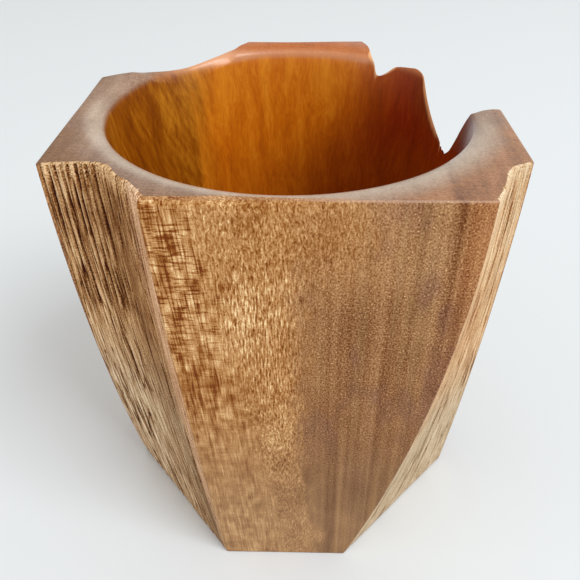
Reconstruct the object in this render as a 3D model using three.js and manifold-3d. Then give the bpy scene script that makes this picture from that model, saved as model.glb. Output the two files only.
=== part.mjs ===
import * as THREE from 'three';
import { mergeVertices } from 'three/addons/utils/BufferGeometryUtils.js';
import Module from 'manifold-3d';

const wasm = await Module();
wasm.setup();

// Wooden cup cut from one squared block, with a round mouth, four scooped corners and an inset base plug.
// Millimetres, +Z up. The origin is on the axis of the bore, at the base. The front face looks along -Y.

// Overall
const CUP_HEIGHT = 105;
const FRONT_WALL = 3.6;
const SIDE_WALL = 4.6;

// Bore, measured on its straight wall carried on to the rim and to the floor
const MOUTH_RADIUS = 39.9;
const FLOOR_RADIUS = 26.5;
const FLOOR_THICKNESS = 8;
const LIP_ROUND = 3;
const FLOOR_ROUND = 6;

// Base plug and the stepped hole that it fits
const THROAT_RADIUS = 16;
const SEAT_RADIUS = 20;
const SEAT_DEPTH = 4.5;
const PLUG_CLEARANCE = 0.3;
const PLUG_RECESS = 0.6;
const PLUG_EASE = 0.5;

// Corner scoops. Each is set out from its own corner of the block, by how far in it reaches along the front
// or back face and along the flank, at the rim and at the foot. Its inner points are shares of the reach at
// the rim, and come down onto the chamfer at the foot at a share of the way from the face to the flank.
// sweep says how late on its way down a point leaves its place at the rim: 1 is a straight slope.
// round says how much of the way to the middle of its neighbours a corner is rounded.
const FRONT_LEFT_SCOOP = {
  corner: [-1, -1],
  rim: { face: 21.1, flank: 13.2 },
  foot: { face: 28.5, flank: 33.4 },
  sweep: { face: 1.41, inner: 1.8, flank: 1.73 },
  inner: [
    { at: [0.863, 0.492], footShare: 0.02, round: 0.5 },
    { at: [0.744, 0.606], footShare: 0.05, round: 0.5 },
    { at: [0.578, 1.008], footShare: 0.09, round: 0.7 },
    { at: [0.294, 1.053], footShare: 0.5, round: 0.7 },
  ],
};
const FRONT_RIGHT_SCOOP = {
  corner: [1, -1],
  rim: { face: 9.55, flank: 14.2 },
  foot: { face: 30, flank: 31.2 },
  sweep: { face: 1.83, inner: 1.72, flank: 1.53 },
  inner: [
    { at: [0.723, 0.366], footShare: 0.25, round: 0.6 },
    { at: [0.471, 0.838], footShare: 0.5, round: 0.7 },
  ],
};
const BACK_RIGHT_SCOOP = {
  corner: [1, 1],
  rim: { face: 25.6, flank: 48.4 },
  foot: { face: 32.5, flank: 41.5 },
  sweep: { face: 1.6, inner: 1.6, flank: 1.6 },
  inner: [
    { at: [0.949, 0.072], footShare: 0.05, round: 0.6 },
    { at: [0.922, 0.196], footShare: 0.13, round: 0.7 },
    { at: [0.871, 0.236], footShare: 0.17, round: 0.4 },
    { at: [0.676, 0.302], footShare: 0.3, round: 0.9 },
    { at: [0.5, 0.384], footShare: 0.42, round: 0.4 },
    { at: [0.336, 0.622], footShare: 0.62, round: 0.9 },
    { at: [0.281, 0.783], footShare: 0.74, round: 0.5 },
    { at: [0.211, 0.872], footShare: 0.8, round: 0.8 },
    { at: [0.188, 0.961], footShare: 0.88, round: 0.7 },
    { at: [0.102, 0.986], footShare: 0.94, round: 0.6 },
  ],
};
const BACK_LEFT_SCOOP = {
  corner: [-1, 1],
  rim: { face: 32.8, flank: 28.1 },
  foot: { face: 35.5, flank: 34.5 },
  sweep: { face: 1.7, inner: 1.7, flank: 1.7 },
  inner: [
    { at: [0.872, 0.185], footShare: 0.12, round: 0.8 },
    { at: [0.588, 0.459], footShare: 0.42, round: 0.9 },
    { at: [0.323, 0.747], footShare: 0.68, round: 0.9 },
  ],
};
const SCOOPS = [FRONT_LEFT_SCOOP, FRONT_RIGHT_SCOOP, BACK_RIGHT_SCOOP, BACK_LEFT_SCOOP];

// How finely the curves are divided
const ROUND_STEPS = 3;
const TURN_STEPS = 72;
const SWEEP_STEPS = 10;

// How far a cutting shape runs past the wood
const OVERRUN = 2;

const HALF_WIDTH = MOUTH_RADIUS + SIDE_WALL;
const HALF_DEPTH = MOUTH_RADIUS + FRONT_WALL;

// A solid from a closed geometry, without the empty triangles that a turned shape has on its axis
function solidOf(geometry) {
  const bare = geometry.clone();
  bare.deleteAttribute('normal');
  bare.deleteAttribute('uv');
  const merged = mergeVertices(bare);
  const corners = merged.index.array;
  const triangles = [];
  for (let i = 0; i < corners.length; i += 3) {
    const [a, b, c] = corners.slice(i, i + 3);
    if (a !== b && b !== c && c !== a) {
      triangles.push(a, b, c);
    }
  }
  return new wasm.Manifold(new wasm.Mesh({
    numProp: 3,
    vertProperties: merged.attributes.position.array,
    triVerts: new Uint32Array(triangles),
  }));
}

function geometryOf(solid) {
  const mesh = solid.getMesh();
  const geometry = new THREE.BufferGeometry();
  geometry.setAttribute('position', new THREE.BufferAttribute(mesh.vertProperties, mesh.numProp));
  geometry.setIndex(new THREE.BufferAttribute(mesh.triVerts, 1));
  geometry.computeVertexNormals();
  return geometry;
}

// A turned shape about the cup's axis, from [radius, height] points that start and end on the axis.
function turned(profile) {
  const lathe = new THREE.LatheGeometry(profile, TURN_STEPS);
  lathe.rotateX(Math.PI / 2);
  return solidOf(lathe);
}

// The corner at point b of a path a, b, c, rounded over a share of the way to the middle of each side.
function roundedCorner(a, b, c, round) {
  const start = b.clone().lerp(a, round / 2);
  const end = b.clone().lerp(c, round / 2);
  return new THREE.QuadraticBezierCurve(start, b, end).getPoints(ROUND_STEPS);
}

// Straight-grained stock, squared to size
function stock() {
  const block = new THREE.BoxGeometry(2 * HALF_WIDTH, 2 * HALF_DEPTH, CUP_HEIGHT);
  block.translate(0, 0, CUP_HEIGHT / 2);
  return solidOf(block);
}

// The bore: a flat floor, a rounded corner, a tapered wall and a lip that rolls over onto the rim
function bore() {
  const wallHeight = CUP_HEIGHT - FLOOR_THICKNESS;
  const taper = Math.atan2(MOUTH_RADIUS - FLOOR_RADIUS, wallHeight);
  const lipReach = LIP_ROUND * Math.tan((Math.PI / 2 - taper) / 2);
  const floorReach = FLOOR_ROUND * Math.tan((Math.PI / 2 - taper) / 2);
  const lipCentre = new THREE.Vector2(MOUTH_RADIUS + lipReach, CUP_HEIGHT - LIP_ROUND);
  const floorCentre = new THREE.Vector2(FLOOR_RADIUS - floorReach, FLOOR_THICKNESS + FLOOR_ROUND);
  const path = new THREE.Path();
  path.moveTo(0, FLOOR_THICKNESS);
  path.lineTo(floorCentre.x, FLOOR_THICKNESS);
  path.absarc(floorCentre.x, floorCentre.y, FLOOR_ROUND, -Math.PI / 2, -taper);
  path.absarc(lipCentre.x, lipCentre.y, LIP_ROUND, Math.PI - taper, Math.PI / 2, true);
  path.lineTo(lipCentre.x, CUP_HEIGHT + OVERRUN);
  path.lineTo(0, CUP_HEIGHT + OVERRUN);
  return turned(path.getPoints(ROUND_STEPS));
}

// The stepped hole through the floor: a throat, and a wider seat that opens at the foot
function plugHole() {
  const outline = [
    new THREE.Vector2(0, -OVERRUN),
    new THREE.Vector2(SEAT_RADIUS, -OVERRUN),
    new THREE.Vector2(SEAT_RADIUS, SEAT_DEPTH),
    new THREE.Vector2(THROAT_RADIUS, SEAT_DEPTH),
    new THREE.Vector2(THROAT_RADIUS, FLOOR_THICKNESS + OVERRUN),
    new THREE.Vector2(0, FLOOR_THICKNESS + OVERRUN),
  ];
  return turned(outline);
}

// The plug: its spigot comes up flush with the floor, and its flange lies in the seat, just above the foot
function plug() {
  const flangeRadius = SEAT_RADIUS - PLUG_CLEARANCE;
  const outline = [
    new THREE.Vector2(0, PLUG_RECESS),
    new THREE.Vector2(flangeRadius - PLUG_EASE, PLUG_RECESS),
    new THREE.Vector2(flangeRadius, PLUG_RECESS + PLUG_EASE),
    new THREE.Vector2(flangeRadius, SEAT_DEPTH - PLUG_CLEARANCE),
    new THREE.Vector2(THROAT_RADIUS - PLUG_CLEARANCE, SEAT_DEPTH - PLUG_CLEARANCE),
    new THREE.Vector2(THROAT_RADIUS - PLUG_CLEARANCE, FLOOR_THICKNESS),
    new THREE.Vector2(0, FLOOR_THICKNESS),
  ];
  return turned(outline);
}

// A point of a scoop, in from its corner of the block, at one depth from 0 at the rim to 1 at the foot
function scoopPoint(scoop, rimX, rimY, footShare, sweep, depth) {
  const atRim = new THREE.Vector2(rimX, rimY);
  const footX = scoop.foot.face * (1 - footShare);
  const footY = scoop.foot.flank * footShare;
  return atRim.lerp(new THREE.Vector2(footX, footY), depth ** sweep);
}

// A scoop's outline in plan at one depth: from past the face, round its inner corners, to past the flank
function scoopSection(scoop, depth) {
  const { rim, sweep, inner } = scoop;
  const path = [
    scoopPoint(scoop, rim.face, 0, 0, sweep.face, depth),
    ...inner.map(({ at: [x, y], footShare }) => {
      return scoopPoint(scoop, x * rim.face, y * rim.flank, footShare, sweep.inner, depth);
    }),
    scoopPoint(scoop, 0, rim.flank, 1, sweep.flank, depth),
  ];
  const end = path.length - 1;
  const faceSlope = path[0].clone().sub(path[1]).normalize();
  const flankSlope = path[end].clone().sub(path[end - 1]).normalize();
  const outline = [path[0].clone().addScaledVector(faceSlope, OVERRUN / Math.abs(faceSlope.y))];
  inner.forEach(({ round }, i) => {
    outline.push(...roundedCorner(path[i], path[i + 1], path[i + 2], round));
  });
  outline.push(path[end].clone().addScaledVector(flankSlope, OVERRUN / Math.abs(flankSlope.x)));
  outline.push(new THREE.Vector2(-OVERRUN, -OVERRUN));
  const [sideX, sideY] = scoop.corner;
  const ring = outline.map((p) => new THREE.Vector2(sideX * (HALF_WIDTH - p.x), sideY * (HALF_DEPTH - p.y)));
  return THREE.ShapeUtils.isClockWise(ring) ? ring.reverse() : ring;
}

// The wood that a scoop takes away, lofted through its sections from above the rim to below the foot
function scoopCutter(scoop) {
  const levels = [{ z: CUP_HEIGHT + OVERRUN, depth: 0 }];
  for (let i = 0; i <= SWEEP_STEPS; i++) {
    const depth = i / SWEEP_STEPS;
    levels.push({ z: CUP_HEIGHT * (1 - depth), depth });
  }
  levels.push({ z: -OVERRUN, depth: 1 });
  const rings = levels.map(({ z, depth }) => ({ z, ring: scoopSection(scoop, depth) }));
  const count = rings[0].ring.length;
  const positions = rings.flatMap(({ z, ring }) => ring.flatMap((p) => [p.x, p.y, z]));
  const faces = [];
  for (let level = 0; level < rings.length - 1; level++) {
    for (let i = 0; i < count; i++) {
      const above = level * count + i;
      const aboveNext = level * count + ((i + 1) % count);
      faces.push([above, above + count, aboveNext], [aboveNext, above + count, aboveNext + count]);
    }
  }
  const underside = (rings.length - 1) * count;
  faces.push(...THREE.ShapeUtils.triangulateShape(rings[0].ring, []));
  for (const [a, b, c] of THREE.ShapeUtils.triangulateShape(rings[rings.length - 1].ring, [])) {
    faces.push([underside + a, underside + c, underside + b]);
  }
  const geometry = new THREE.BufferGeometry();
  geometry.setAttribute('position', new THREE.Float32BufferAttribute(positions, 3));
  geometry.setIndex(faces.flat());
  return solidOf(geometry);
}

function cupBody() {
  let wood = stock().subtract(bore()).subtract(plugHole());
  for (const scoop of SCOOPS) {
    wood = wood.subtract(scoopCutter(scoop));
  }
  return geometryOf(wood);
}

function piece(name, geometry, colour, roughness) {
  const material = new THREE.MeshStandardMaterial({ color: colour, roughness, metalness: 0 });
  const mesh = new THREE.Mesh(geometry, material);
  mesh.name = name;
  return mesh;
}

const cup = new THREE.Group();
cup.add(piece('cup_body', cupBody(), 0xa9713f, 0.55));
cup.add(piece('base_plug', geometryOf(plug()), 0xa5602a, 0.4));

export default cup;
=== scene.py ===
import math

import bmesh
import bpy
from mathutils import Matrix, Vector, noise


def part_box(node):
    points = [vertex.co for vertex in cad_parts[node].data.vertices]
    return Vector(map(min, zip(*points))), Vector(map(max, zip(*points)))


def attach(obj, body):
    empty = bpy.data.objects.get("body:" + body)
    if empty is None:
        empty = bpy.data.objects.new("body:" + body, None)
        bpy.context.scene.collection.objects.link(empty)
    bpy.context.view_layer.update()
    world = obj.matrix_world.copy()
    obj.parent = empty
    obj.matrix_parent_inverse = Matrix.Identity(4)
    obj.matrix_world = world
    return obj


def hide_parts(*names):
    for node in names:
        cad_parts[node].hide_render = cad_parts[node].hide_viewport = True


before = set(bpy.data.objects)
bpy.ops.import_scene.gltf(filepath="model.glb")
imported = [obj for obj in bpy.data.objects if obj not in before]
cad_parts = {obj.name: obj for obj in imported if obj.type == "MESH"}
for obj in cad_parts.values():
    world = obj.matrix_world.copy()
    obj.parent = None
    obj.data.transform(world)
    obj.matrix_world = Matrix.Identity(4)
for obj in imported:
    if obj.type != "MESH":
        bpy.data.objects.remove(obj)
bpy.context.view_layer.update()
_, block_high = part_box("cup_body")
plug_low, plug_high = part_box("base_plug")

# Lengths are in metres. MM turns a length that is easier to read in millimetres.
MM = 0.001

# The block, from the frame
HEIGHT = block_high.z
HALF_WIDTH = block_high.x
HALF_DEPTH = block_high.y

# The bore, measured on its straight wall carried on to the rim and to the floor
MOUTH_RADIUS = 39.75 * MM
FLOOR_RADIUS = 26.5 * MM
FLOOR_TOP = plug_high.z
LIP_REACH = 5.2 * MM
LIP_DROP = 2.5 * MM
LIP_FULLER = 1.1 * MM
LIP_FULLEST = math.radians(-122)
LIP_FULL_FROM = 60 * MM
FLOOR_ROUND = 6 * MM

# The stepped hole in the foot and the plug that closes it
THROAT_RADIUS = 16 * MM
SEAT_RADIUS = 20 * MM
SEAT_DEPTH = 4.5 * MM
PLUG_CLEARANCE = 0.3 * MM
PLUG_EASE = 0.5 * MM

# Edges taken off with abrasive paper
ARRIS_EASE = 0.45 * MM
FRONT_EASE = 1.7 * MM
FRONT_WEAR_START = -20 * MM
FRONT_WEAR_END = 14 * MM
FRONT_SLACK = 0.5 * MM
SCOOP_WEAR = 5 * MM
FOOT_EASE = 0.5 * MM

# The rim where a back scoop breaks into the bore: its eased or rolled edge, and the worn part of it, which is
# painted paler both for wear and as a painted highlight
NOTCH_STARTS = 42.9 * MM
NOTCH_FULL = 41.3 * MM
NOTCH_EASE = 0.6 * MM
ROLL_REACH = 4 * MM
ROLL_OUT = 1.2 * MM
ROLL_FALL = 0.75
ROLL_FADE = 9 * MM
WEAR_REACH = 0.9 * MM
WEAR_FROM = 0.16
WEAR_SLANT = 0.2

# Deep furrows at the top of the front left scoop's outer part, placed in millimetres round and down
FURROWS_START = 15
FURROWS_END = 34
FURROW_PITCH = 1.55
FURROW_HALF = 0.26
FURROW_STEEPNESS = 6
FURROW_DEPTH = 0.7
FURROW_VARIATION = 1.2
FURROW_RUNOUT = 1.2

# Pores torn open all over the scoops: where they start, how steep they are, and what patches and depth change
PORE_LEVEL = 0.26
PORE_STEEPNESS = 5
PORE_PATCHINESS = 0.8
PORE_RUNOUT = 0.5

# Ripples of the cut, then each scoop's share of them and the depth of its torn pores, in millimetres
SWELL_DEPTH = 0.12
RIPPLE_DEPTH = 0.1
RIPPLE_MEAN = 0.05
TOOLING = {
    "front_left": (1, 0.42), "front_right": (0.7, 0.2), "back_right": (0.5, 0.25), "back_left": (0.5, 0.25),
}

# Shares of the height: how far down the back scoops are smooth, and over how much more their marks come in
BACK_SMOOTH_TO = 0.08
BACK_TOOLED_OVER = 0.2

# Cloudy patterns on the scoops: how fast each changes across and down a millimetre, and its seed
PORES = (1.6, 0.05, 31)
PORE_PATCHES = (0.12, 0.04, 11)
FURROW_SWAY = (0.1, 0.05, 41)
FURROW_LENGTHS = (3.7, 0.02, 47)
SWELL = (0.14, 0.025, 3)
RIPPLE = (0.5, 0.03, 7)

# The four corner scoops, set out as in the solid
FRONT_LEFT = {
    "corner": (-1, -1), "rim": (21.1, 13.2), "foot": (28.5, 33.4), "sweep": (1.41, 1.8, 1.73),
    "inner": [((0.863, 0.492), 0.02, 0.8), ((0.744, 0.606), 0.05, 0.8), ((0.578, 1.008), 0.09, 0.9),
              ((0.294, 1.053), 0.5, 0.7)],
}
FRONT_RIGHT = {
    "corner": (1, -1), "rim": (9.55, 14.2), "foot": (30, 31.2), "sweep": (1.83, 1.72, 1.53),
    "inner": [((0.723, 0.366), 0.25, 0.6), ((0.471, 0.838), 0.5, 0.7)],
}
BACK_RIGHT = {
    "corner": (1, 1), "rim": (25.6, 48.4), "foot": (32.5, 41.5), "sweep": (1.6, 1.6, 1.6),
    "inner": [((0.949, 0.072), 0.05, 0.6), ((0.922, 0.196), 0.13, 0.7), ((0.871, 0.236), 0.17, 0.4),
              ((0.676, 0.302), 0.3, 0.9), ((0.5, 0.384), 0.42, 0.4), ((0.336, 0.622), 0.62, 0.9),
              ((0.281, 0.783), 0.74, 0.5), ((0.211, 0.872), 0.8, 0.8), ((0.188, 0.961), 0.88, 0.7),
              ((0.102, 0.986), 0.94, 0.6)],
}
BACK_LEFT = {
    "corner": (-1, 1), "rim": (32.8, 28.1), "foot": (35.5, 34.5), "sweep": (1.7, 1.7, 1.7),
    "inner": [((0.872, 0.185), 0.12, 0.8), ((0.588, 0.459), 0.42, 0.9), ((0.323, 0.747), 0.68, 0.9)],
}
SCOOPS = {
    "front_left": FRONT_LEFT, "front_right": FRONT_RIGHT, "back_right": BACK_RIGHT, "back_left": BACK_LEFT,
}

# Spacing of the mesh on plain faces, front scoops and back scoops, and its steps on arrises and roundings
PLAIN_PITCH = 1.3 * MM
TOOLED_PITCH = 0.21 * MM
BACK_PITCH = 0.6 * MM
ARRIS_STEPS = 4
LEAST_ROUND_STEPS = 3

# The share of the way down where distances round the outline are measured
LAY_DEPTH = 0.4

# Mesh rows in each stretch of the wall's section
WALL_ROWS = 34
LIP_ROWS = 8
RIM_ROWS = 5
CORNER_ROWS = 6
EASE_ROWS = 7
SKIN_ROWS = 52
FOOT_ROWS = 4
BASE_ROWS = 5
TIGHTEST_ROW = 0.06 * MM

# How finely the bore's meeting with the skin is sought, how depths are rounded, and what seam is closed
MEETING_HALVINGS = 30
DEPTH_DIGITS = 4
SEAM_WIDTH = 0.004 * MM

# The plug's mesh
PLUG_FACETS = 128
PLUG_SEAM_WIDTH = 0.001 * MM

# Slots of the body's mesh
SANDED, SCOOPED, TURNED, END_GRAIN = range(4)
EASED = None

# The photograph's viewpoint in millimetres, the camera's turn in degrees, and its lens
EYE = (4.2, -131.95, 155)
PITCH, YAW, ROLL = 37.53, -1.83, -0.73
SENSOR_WIDTH = 36
FOCAL_LENGTH = 38.92
CLIP_START = 5 * MM

# The studio: a window at the right, a low fill at the left, a pale sky and a wide floor
WINDOW = {"place": (1.35, -1.0, 1.9), "size": (1.3, 1.3), "power": 38, "colour": (0.94, 1, 1.05)}
FILL = {"place": (-1.6, -0.6, 0.22), "size": (1.2, 0.4), "power": 6, "colour": (1, 0.99, 0.97)}
SKY_COLOUR = (1, 0.99, 0.975, 1)
SKY_STRENGTH = 0.66
FLOOR_HALF = 3


def held(value, low=0.0, high=1.0):
    """The value, kept between low and high."""
    return min(max(value, low), high)


def scoop_points(scoop, depth):
    """The corners of one scoop's outline in plan, from face to flank. Depth runs from 0 (rim) to 1 (foot).

    A scoop is set out from its own corner of the block by its reach in millimetres along face and flank, at
    the rim and at the foot. Each inner point has its place in shares of the reach at the rim, its share of
    the way to the flank at the foot, and its rounding. The sweeps say how late each part runs in.
    """
    (rim_x, rim_y), (foot_x, foot_y) = scoop["rim"], scoop["foot"]
    face_sweep, inner_sweep, flank_sweep = scoop["sweep"]
    places = [((rim_x, 0), 0, face_sweep)]
    places += [((x * rim_x, y * rim_y), share, inner_sweep) for (x, y), share, _ in scoop["inner"]]
    places += [((0, rim_y), 1, flank_sweep)]
    points = []
    for at_rim, share, sweep in places:
        at_foot = Vector((foot_x * (1 - share), foot_y * share))
        inset = Vector(at_rim).lerp(at_foot, depth ** sweep) * MM
        side_x, side_y = scoop["corner"]
        points.append(Vector((side_x * (HALF_WIDTH - inset.x), side_y * (HALF_DEPTH - inset.y))))
    return points


def joined(front_left, front_right, back_right, back_left):
    """A list for each scoop, from face to flank, joined anticlockwise from the left end of the front face."""
    return front_left[:1] + front_right + back_right[::-1] + back_left + front_left[:0:-1]


def outline_corners(depth):
    return joined(*(scoop_points(scoop, depth) for scoop in SCOOPS.values()))


def outline_rounds():
    """How much of the way to the middle of its neighbours each corner of the outline is rounded.

    An arris between a plain face and a scoop has None, because only its edge is taken off.
    """
    return joined(*([None] + [share for _, _, share in scoop["inner"]] + [None] for scoop in SCOOPS.values()))


def corner_kinds():
    """What lies between each corner of the outline and the next: a scoop's name, or None for a face."""
    kinds = [None]
    for name in ("front_right", "back_right", "back_left", "front_left"):
        kinds += [name] * (len(SCOOPS[name]["inner"]) + 1) + [None]
    return kinds[:-1]


ROUNDS = outline_rounds()
KINDS = corner_kinds()


def corner_reach(corners, index):
    """Where the rounding of one corner starts and ends."""
    before, here, after = corners[index - 1], corners[index], corners[(index + 1) % len(corners)]
    if ROUNDS[index] is not None:
        return here.lerp(before, ROUNDS[index] / 2), here.lerp(after, ROUNDS[index] / 2)
    start = here + (before - here).normalized() * ARRIS_EASE
    return start, here + (after - here).normalized() * ARRIS_EASE


def outline_columns():
    """The mesh's columns, as (corner, whether on its rounding or on the straight after it, share of that)."""
    corners = outline_corners(0)
    columns = []
    for index, kind in enumerate(KINDS):
        start, end = corner_reach(corners, index)
        following, _ = corner_reach(corners, (index + 1) % len(corners))
        pitch = TOOLED_PITCH if {KINDS[index - 1], kind} & {"front_left", "front_right"} else BACK_PITCH
        steps = max(LEAST_ROUND_STEPS, round((end - start).length / pitch))
        steps = ARRIS_STEPS if ROUNDS[index] is None else steps
        columns += [(index, True, step / steps) for step in range(steps)]
        pitches = {None: PLAIN_PITCH, "front_left": TOOLED_PITCH, "front_right": TOOLED_PITCH}
        steps = max(1, round((following - end).length / pitches.get(kind, BACK_PITCH)))
        columns += [(index, False, step / steps) for step in range(steps)]
    return columns


COLUMNS = outline_columns()
CORNER_CACHE = {}


def scoop_of(column):
    """The scoop that a mesh column lies in, or None on a plain face or an arris beside one."""
    index, on_round, _ = column
    return None if on_round and KINDS[index - 1] is None else KINDS[index]


def outline_point(column, depth):
    """A point of the outline in plan, for one mesh column at one depth."""
    if depth not in CORNER_CACHE:
        corners = outline_corners(depth)
        CORNER_CACHE[depth] = corners, [corner_reach(corners, index) for index in range(len(corners))]
    corners, reaches = CORNER_CACHE[depth]
    index, on_round, share = column
    start, end = reaches[index]
    if not on_round:
        return end.lerp(reaches[(index + 1) % len(corners)][0], share)
    here = corners[index]
    return start.lerp(here, share).lerp(here.lerp(end, share), share)


def lay_of_columns():
    """How far each column lies round the outline, in millimetres, and the outline's whole length."""
    points = [outline_point(column, LAY_DEPTH) for column in COLUMNS]
    steps = [(here - before).length / MM for before, here in zip(points, points[1:])]
    distances = [sum(steps[:index]) for index in range(len(points))]
    return dict(zip(COLUMNS, distances)), distances[-1] + (points[0] - points[-1]).length / MM


LAY, GIRTH = lay_of_columns()


def cloudy(across, down, pattern):
    """A smooth random value about 0, at one place on the skin in millimetres."""
    across_pace, down_pace, seed = pattern
    return noise.noise(Vector((across * across_pace, down * down_pace, seed)))


def furrow_share(across, down):
    """How deep the nearest furrow is at one place of the front left scoop, below 0 between them."""
    wavering = across + cloudy(across, down, FURROW_SWAY)
    nearest = abs(wavering % FURROW_PITCH - FURROW_PITCH / 2)
    length = cloudy(math.floor(wavering / FURROW_PITCH), down, FURROW_LENGTHS)
    runout = FURROW_RUNOUT * (down / FURROWS_END) ** 2
    return (FURROW_HALF - nearest) * FURROW_STEEPNESS + length * FURROW_VARIATION + FURROW_DEPTH - runout


def torn_share(column, depth):
    """How far a pore is torn open at one place of a scoop, from 0 to 1."""
    kind = scoop_of(column)
    if kind is None:
        return 0.0
    across, down = LAY[column], depth * HEIGHT / MM
    pore = (cloudy(across, down, PORES) - PORE_LEVEL) * PORE_STEEPNESS
    deep = pore + cloudy(across, down, PORE_PATCHES) * PORE_PATCHINESS - PORE_RUNOUT * depth
    if kind == "front_left" and GIRTH - across > FURROWS_START and down < FURROWS_END:
        deep = max(deep, furrow_share(across, down))
    return held(deep)


def tool_marks(column, depth):
    """How far a scoop's surface lies below its mean at one place: ripples of the cut, and pores torn open."""
    kind = scoop_of(column)
    if kind is None:
        return 0.0
    across, down = LAY[column], depth * HEIGHT / MM
    swell = SWELL_DEPTH * cloudy(across, down, SWELL)
    ripples = max(swell + RIPPLE_DEPTH * cloudy(across, down, RIPPLE) + RIPPLE_MEAN, 0.0)
    reach, torn = TOOLING[kind]
    fade = 1.0 if kind.startswith("front") else held((depth - BACK_SMOOTH_TO) / BACK_TOOLED_OVER)
    return fade * (ripples * reach + torn * torn_share(column, depth)) * MM


def skin_polar(column, depth):
    """The outer skin at one column and depth, as (azimuth, radius)."""
    point = outline_point(column, depth)
    return math.atan2(point.y, point.x), point.length - tool_marks(column, depth)


def skin_near(column, depth):
    """The outer skin at a rounded depth, so that columns side by side share their outlines."""
    return skin_polar(column, round(depth, DEPTH_DIGITS))


# The bore's section, measured along it from the top of the floor's corner: wall, crowned lip, then the rim
TAPER = math.atan2(MOUTH_RADIUS - FLOOR_RADIUS, HEIGHT - FLOOR_TOP)
FLOOR_EDGE = FLOOR_RADIUS - FLOOR_ROUND * math.tan((math.pi / 2 - TAPER) / 2)
FLOOR_CENTRE = Vector((FLOOR_EDGE, FLOOR_TOP + FLOOR_ROUND))
WALL_START = FLOOR_CENTRE + Vector((math.cos(TAPER), -math.sin(TAPER))) * FLOOR_ROUND
LIP_START = math.atan(math.tan(TAPER) * LIP_DROP / LIP_REACH)
WALL_TOP = HEIGHT - LIP_DROP * (1 - math.sin(LIP_START))
WALL_END = Vector((MOUTH_RADIUS - (HEIGHT - WALL_TOP) * math.tan(TAPER), WALL_TOP))
LIP_CENTRE = Vector((WALL_END.x + LIP_REACH * math.cos(LIP_START), HEIGHT - LIP_DROP))
WALL_LENGTH = (WALL_END - WALL_START).length
LIP_PACE = (LIP_REACH + LIP_DROP) / 2
LIP_LENGTH = LIP_PACE * (math.pi / 2 - LIP_START)


def inner_point(distance):
    """(radius, height) on the bore's section, carried on along the rim."""
    if distance < WALL_LENGTH:
        return WALL_START.lerp(WALL_END, distance / WALL_LENGTH)
    if distance < WALL_LENGTH + LIP_LENGTH:
        turned = LIP_START + (distance - WALL_LENGTH) / LIP_PACE
        return LIP_CENTRE + Vector((-LIP_REACH * math.cos(turned), LIP_DROP * math.sin(turned)))
    return Vector((LIP_CENTRE.x + distance - WALL_LENGTH - LIP_LENGTH, HEIGHT))


def height_depth(height):
    return held(1 - height / HEIGHT)


def meeting_distance(column):
    """How far along the bore's section it meets the outer skin."""
    _, at_rim = skin_polar(column, 0.0)
    if at_rim > LIP_CENTRE.x:
        return WALL_LENGTH + LIP_LENGTH + at_rim - LIP_CENTRE.x
    low, high = 0.0, WALL_LENGTH + LIP_LENGTH
    for _ in range(MEETING_HALVINGS):
        middle = (low + high) / 2
        radius, height = inner_point(middle)
        _, outside = skin_near(column, height_depth(height))
        low, high = (middle, high) if outside > radius else (low, middle)
    return (low + high) / 2


def notch_share(meeting):
    """1 where a scoop breaks into the bore and thins the wall to an edge, 0 where the flat rim is left."""
    radius, _ = inner_point(meeting)
    return held((NOTCH_STARTS - radius) / (NOTCH_STARTS - NOTCH_FULL))


def edge_wear_and_highlight(index, meetings, height):
    """1 on the thin edge where the back right scoop breaks into the bore, falling to 0 within its reach. The
    bore's finish paints this edge paler, both as wear and as a painted highlight.
    """
    column = COLUMNS[index]
    notched = notch_share(meetings[index])
    if scoop_of(column) != "back_right" or not notched:
        return 0.0
    after = (index + 1) % len(COLUMNS)
    azimuth, _ = skin_polar(column, 0.0)
    next_azimuth, _ = skin_polar(COLUMNS[after], 0.0)
    along = MOUTH_RADIUS * math.remainder(next_azimuth - azimuth, math.tau)
    slant = abs(along) / math.hypot(along, meetings[after] - meetings[index])
    away = abs(inner_point(meetings[index]).y - height) * slant
    toward_back = math.sin(azimuth)
    notched *= held(toward_back / WEAR_FROM - 1)
    return notched * min((1 - slant) / WEAR_SLANT, 1.0) * max(1 - away * toward_back / WEAR_REACH, 0.0)


def at_front(place):
    return place.y < -HALF_DEPTH + FRONT_SLACK


def edge_eases(column, meeting):
    """How far the rim's outer edge is eased over the rim and down the skin, and how far it is rolled out."""
    kind = scoop_of(column)
    notched = notch_share(meeting)
    place = outline_point(column, 0.0)
    worn = 0.0
    if kind == "front_left":
        worn = max(1 - (GIRTH - LAY[column]) * MM / SCOOP_WEAR, 0.0)
    elif at_front(place):
        worn = held((FRONT_WEAR_END - place.x) / (FRONT_WEAR_END - FRONT_WEAR_START))
    ease = ARRIS_EASE + (FRONT_EASE - ARRIS_EASE) * worn
    if kind == "back_left":
        return ease + (ROLL_REACH - ease) * notched, ease, ROLL_OUT * notched
    ease += (NOTCH_EASE - ease) * notched
    return ease, ease, 0.0


def fuller_lip(azimuth, radius, height):
    """How far the lip stands in from a true circle, fullest at the front left and fading down the bore."""
    toward = max(math.cos(azimuth - LIP_FULLEST), 0.0) ** 2
    up = held((height - LIP_FULL_FROM) / (HEIGHT - LIP_FULL_FROM))
    outward = held((MOUTH_RADIUS + LIP_REACH - radius) / LIP_REACH)
    return LIP_FULLER * toward * up ** 2 * outward


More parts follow.
